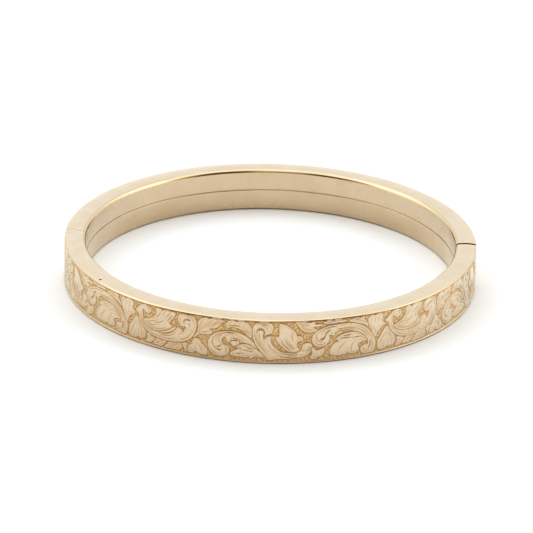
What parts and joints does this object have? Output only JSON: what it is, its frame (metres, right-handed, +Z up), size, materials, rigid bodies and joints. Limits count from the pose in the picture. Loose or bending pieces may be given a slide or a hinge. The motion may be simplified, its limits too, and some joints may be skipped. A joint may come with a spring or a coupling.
{
  "type": "hinged bangle bracelet",
  "caption": "Round hollow pale-gold bangle that opens on a side hinge and shuts with a sprung tongue clasp; engraved front half, plain back half.",
  "frame": {"origin": "centre of the ring, on the surface that the bangle lies on", "axes": "+Z up along the ring's axis; +X towards the clasp, -X towards the hinge; -Y towards the engraved front half, +Y towards the plain back half"},
  "size_m": [0.0641, 0.064, 0.007],
  "materials": {
    "sheet_gold": "pale gold-filled sheet, satin from wear",
    "fitted_gold": "gold-coloured solder-fitted plate and tube, filed flush",
    "spring_gold": "hard-drawn gold-coloured strip and wire, smooth"
  },
  "bodies": {
    "front": {"front_band_shell": "sheet_gold", "front_hinge_plate": "fitted_gold", "front_clasp_plate": "fitted_gold", "front_knuckle_lower": "fitted_gold", "front_knuckle_upper": "fitted_gold", "tongue_fixed_leaf": "spring_gold"},
    "back": {"back_band_shell": "sheet_gold", "back_hinge_plate": "fitted_gold", "catch_plate": "fitted_gold", "catch_box": "fitted_gold", "back_knuckle_bottom": "fitted_gold", "back_knuckle_middle": "fitted_gold", "back_knuckle_top": "fitted_gold", "hinge_pin": "spring_gold"},
    "tongue": {"tongue_sprung_leaf": "spring_gold", "push_piece": "spring_gold"}
  },
  "joints": [
    {"name": "hinge_open", "type": "hinge", "parent": "front", "child": "back", "pos_m": [-0.03115, 0, 0.0035], "axis": [0, 0, 1], "range_deg": [0, 60]},
    {"name": "tongue_press", "type": "hinge", "parent": "front", "child": "tongue", "pos_m": [0.03015, 0.00442, 0.0035], "axis": [0, 0, -1], "range_deg": [0, 8.5], "stiffness_Nm_per_rad": 0.05}
  ]
}
